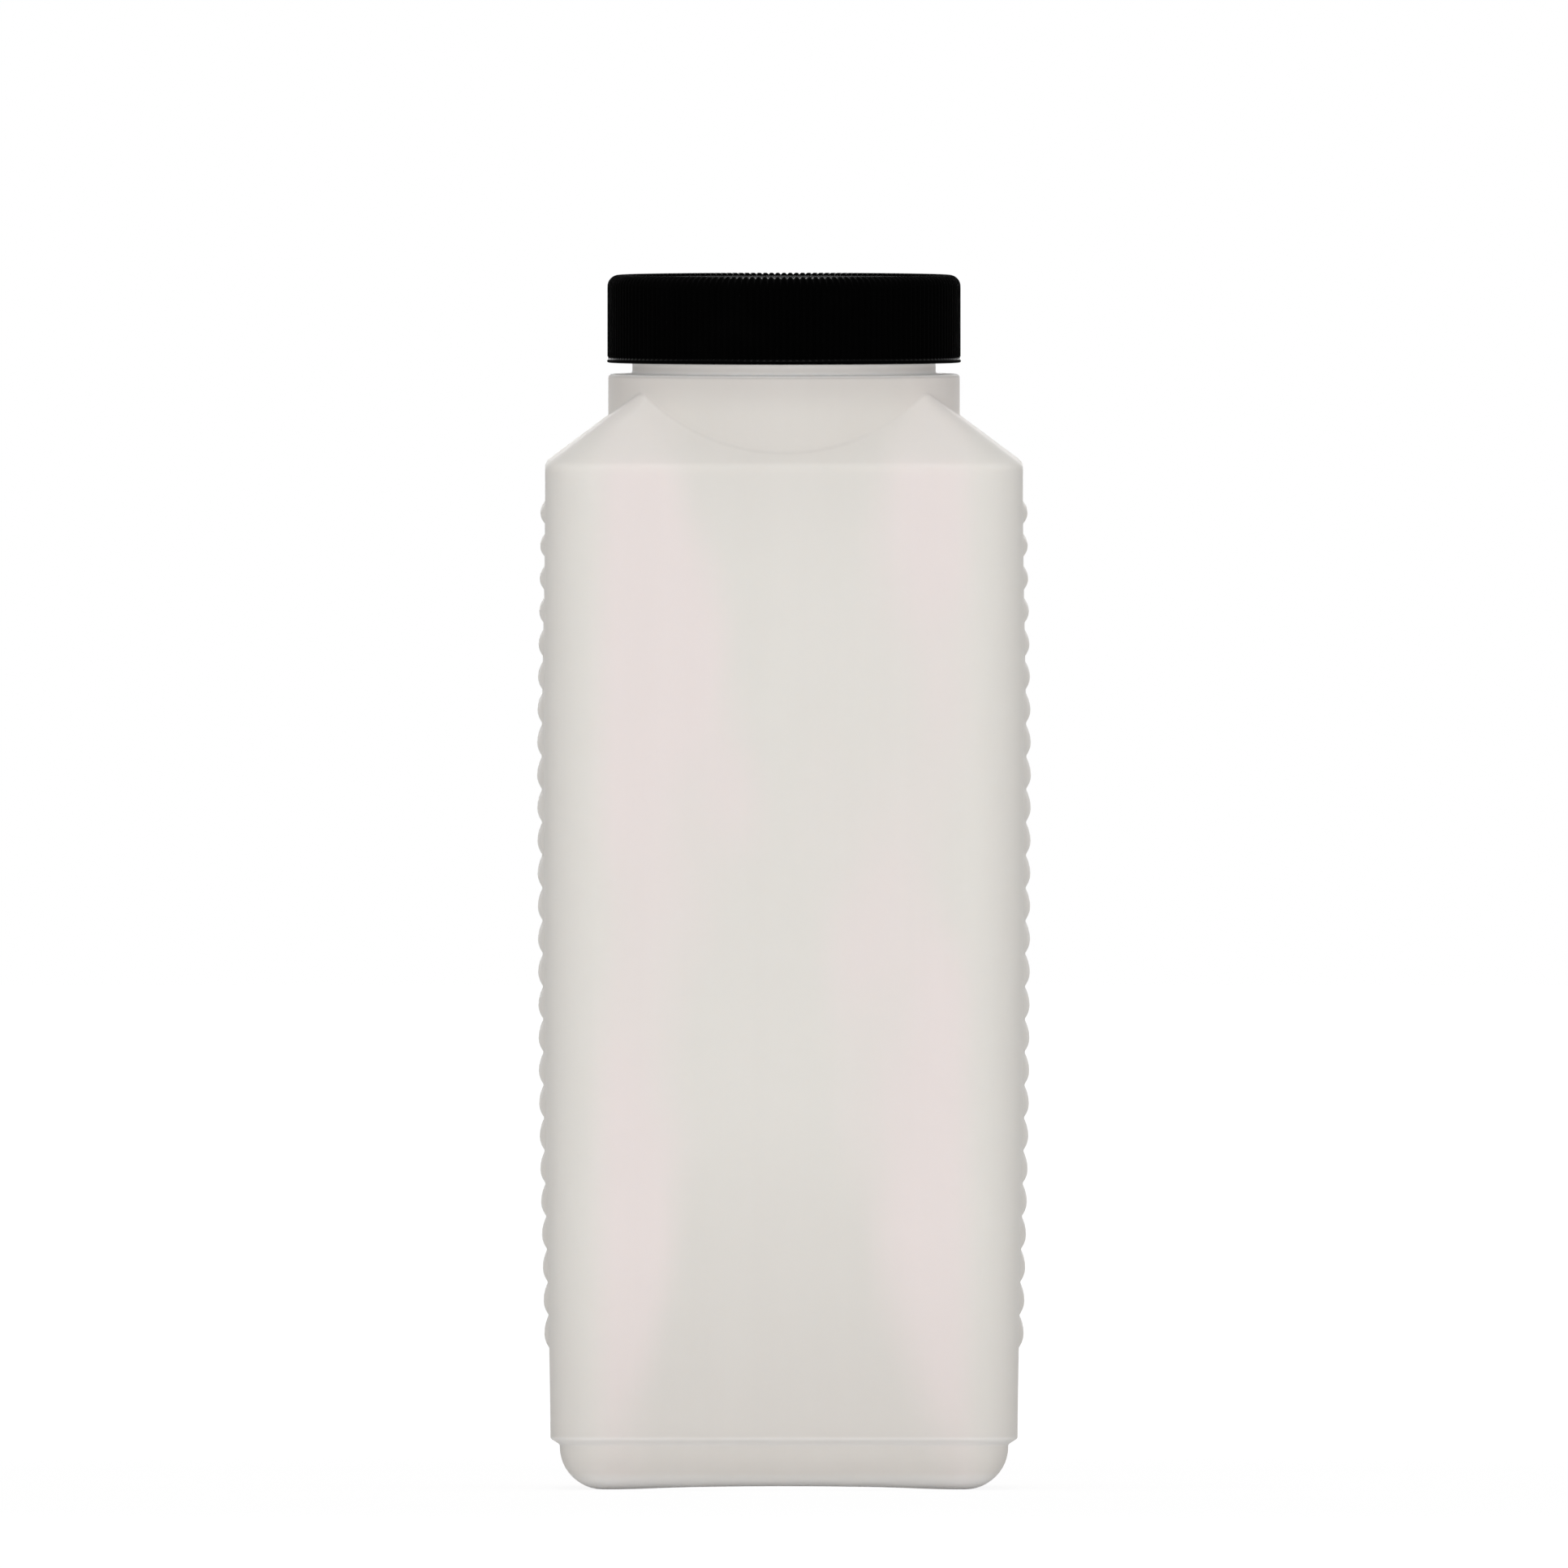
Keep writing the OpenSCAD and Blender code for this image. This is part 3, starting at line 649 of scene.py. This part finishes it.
def makeDisc(finish):
    # a flat disc with softly rounded edges, turned from its profile
    d = disc
    low, top = d["low"], d["low"] + d["thickness"]
    edge, edgeR = d["edge"], d["radius"] - d["edge"]
    profile = np.concatenate([
        [[2.0, low], [12, low], [22, low]],
        arcPoints(edgeR, low + edge, edge, -90, 0, 5),
        arcPoints(edgeR, top - edge, edge, 0, 90, 5),
        [[22, top], [12, top], [2.0, top]]])
    gridPiece("foam_sealing_disc", turnedRings(profile), [0, 0, low], [0, 0, top],
              "liner", "cap_liner", finish)


discFinish = dict(                  # colours from 0 to 255, lengths in metres, cells to the metre
    dull=(236, 235, 230), clean=(244, 243, 240), patch=0.006,
    roughness=0.62, gloss=0.25, cells=2200.0, cellDepth=0.00006,
)


def foamedLiner():
    # closed-cell foam under a thin film: small soft pits
    f = discFinish
    material, tree = newMaterial("foamed_liner_skin")
    cells = tree.add("ShaderNodeTexVoronoi", {"feature": "SMOOTH_F1"},
                     {"Vector": tree.place(), "Scale": f["cells"]})
    tone = tree.noise(f["patch"], 2.0, 0.5)
    tree.end(tree.add("ShaderNodeBsdfPrincipled", {}, {
        "Base Color": tree.blendColours(tone, fromScreen(f["dull"]), fromScreen(f["clean"])),
        "Roughness": f["roughness"] + tone * 0.12, "Normal": tree.relief(cells * f["cellDepth"]),
        "Specular IOR Level": f["gloss"]}))
    return material


makeDisc(foamedLiner())


studio = dict(                      # metres, watts and degrees
    floorRadius=7.0, floorSides=128, floorGap=0.00005, floorTones=(0.86, 0.90), floorSpeck=0.03,
    floorShown=0.86, floorGlow=1.05, floorNear=0.15, floorFar=0.9,
    patch=0.4, patchX=(0.028, 0.034), patchY=(0.020, 0.026),         # a glow hidden under the foot
    worldLight=0.36, lampTarget=(0.0, 0.0, 0.12),
    lamps=[                         # place, watts, width, height
        ((0.0, -1.9, 0.22), 19.2, 1.5, 0.54), ((0.0, 1.9, 0.6), 12.5, 1.5, 0.9),
        ((0.0, -0.2, 2.0), 11.5, 1.2, 1.2),
        ((1.9, 0.0, 0.1), 1.4, 1.2, 0.5), ((-1.9, 0.0, 0.1), 1.4, 1.2, 0.5)],
    frameWidth=0.28636, distance=6.0, elevation=0.75, aim=(0.0, 0.0, 0.1285), nearest=0.01, farthest=40.0,
)


def seenDirectly(tree):
    # 1 where the camera, a mirror or a glass looks straight at the surface
    names = ("Is Camera Ray", "Is Glossy Ray", "Is Transmission Ray")
    camera, glossy, through = tree.several("ShaderNodeLightPath", names)
    return maths("MAXIMUM", maths("MAXIMUM", camera, glossy), through)


def makeFloor():
    # a pale disc, open from below, that shows the object's shadow faintly near it
    # and is plain white further out
    s = studio
    turn = 2 * math.pi * np.arange(s["floorSides"]) / s["floorSides"]
    rim = np.column_stack([np.cos(turn), np.sin(turn), 0 * turn]) * s["floorRadius"]
    mesh = bpy.data.meshes.new("floor")
    mesh.from_pydata([tuple(p) for p in rim - [0, 0, s["floorGap"]]], [], [tuple(range(s["floorSides"]))])
    material, tree = newMaterial("floor_paint")
    speck = tree.noise(s["floorSpeck"], 2.0, 0.5)
    darker, paler = [(tone, tone, tone, 1) for tone in s["floorTones"]]
    matt = tree.add("ShaderNodeBsdfDiffuse", {}, {"Color": tree.blendColours(speck, darker, paler)})
    glow = tree.add("ShaderNodeEmission", {}, {"Color": (1, 1, 1, 1), "Strength": s["floorGlow"]})
    clear = tree.add("ShaderNodeBsdfTransparent")
    x, y, z = tree.axes()
    patch = (1 - abs(x).ramp(*s["patchX"])) * (1 - abs(y).ramp(*s["patchY"])) * s["patch"]
    table = tree.blendShaders(patch, matt, glow)            # keeps the underside from going black
    far = (x * x + y * y).ramp(s["floorNear"] ** 2, s["floorFar"] ** 2)
    shown = seenDirectly(tree) * (s["floorShown"] + far * (1 - s["floorShown"]))
    below = tree.add("ShaderNodeNewGeometry", out="Backfacing")
    tree.end(tree.blendShaders(below, tree.blendShaders(shown, table, glow), clear))
    mesh.materials.append(material)
    floor = bpy.data.objects.new("floor", mesh)
    bpy.context.scene.collection.objects.link(floor)


def makeLights():
    # a dim white world that is seen as plain white, and a soft box on each side and above
    s = studio
    world = bpy.data.worlds.new("studio_air")
    bpy.context.scene.world = world
    world.use_nodes = True
    tree = Finish(world.node_tree)
    air = tree.add("ShaderNodeBackground", {}, {"Color": (1, 1, 1, 1), "Strength": s["worldLight"]})
    white = tree.add("ShaderNodeBackground", {}, {"Color": (1, 1, 1, 1), "Strength": 1.0})
    tree.end(tree.blendShaders(seenDirectly(tree), air, white), "ShaderNodeOutputWorld")
    for number, (place, watts, width, height) in enumerate(s["lamps"]):
        data = bpy.data.lights.new(f"softbox_{number}", "AREA")
        data.shape = "RECTANGLE"
        data.energy, data.size, data.size_y = watts, width, height
        lamp = bpy.data.objects.new(f"softbox_{number}", data)
        lamp.location = place
        lamp.rotation_euler = (Vector(s["lampTarget"]) - Vector(place)).to_track_quat("-Z", "Y").to_euler()
        lamp.visible_camera = False
        bpy.context.scene.collection.objects.link(lamp)


def makeCamera():
    # place = aim + distance * (0, -cos e, sin e), e the elevation, looking back at the aim
    s = studio
    data = bpy.data.cameras.new("camera")
    data.type, data.ortho_scale = "ORTHO", s["frameWidth"]
    data.clip_start, data.clip_end = s["nearest"], s["farthest"]
    camera = bpy.data.objects.new("camera", data)
    rise = math.radians(s["elevation"])
    away = Vector((0, -math.cos(rise), math.sin(rise)))
    camera.location = Vector(s["aim"]) + away * s["distance"]
    camera.rotation_euler = (-away).to_track_quat("-Z", "Y").to_euler()
    bpy.context.scene.collection.objects.link(camera)
    bpy.context.scene.camera = camera


makeFloor()
makeLights()
makeCamera()
bpy.context.scene.view_settings.view_transform = "Standard"
print("stage, lamps and camera ready")
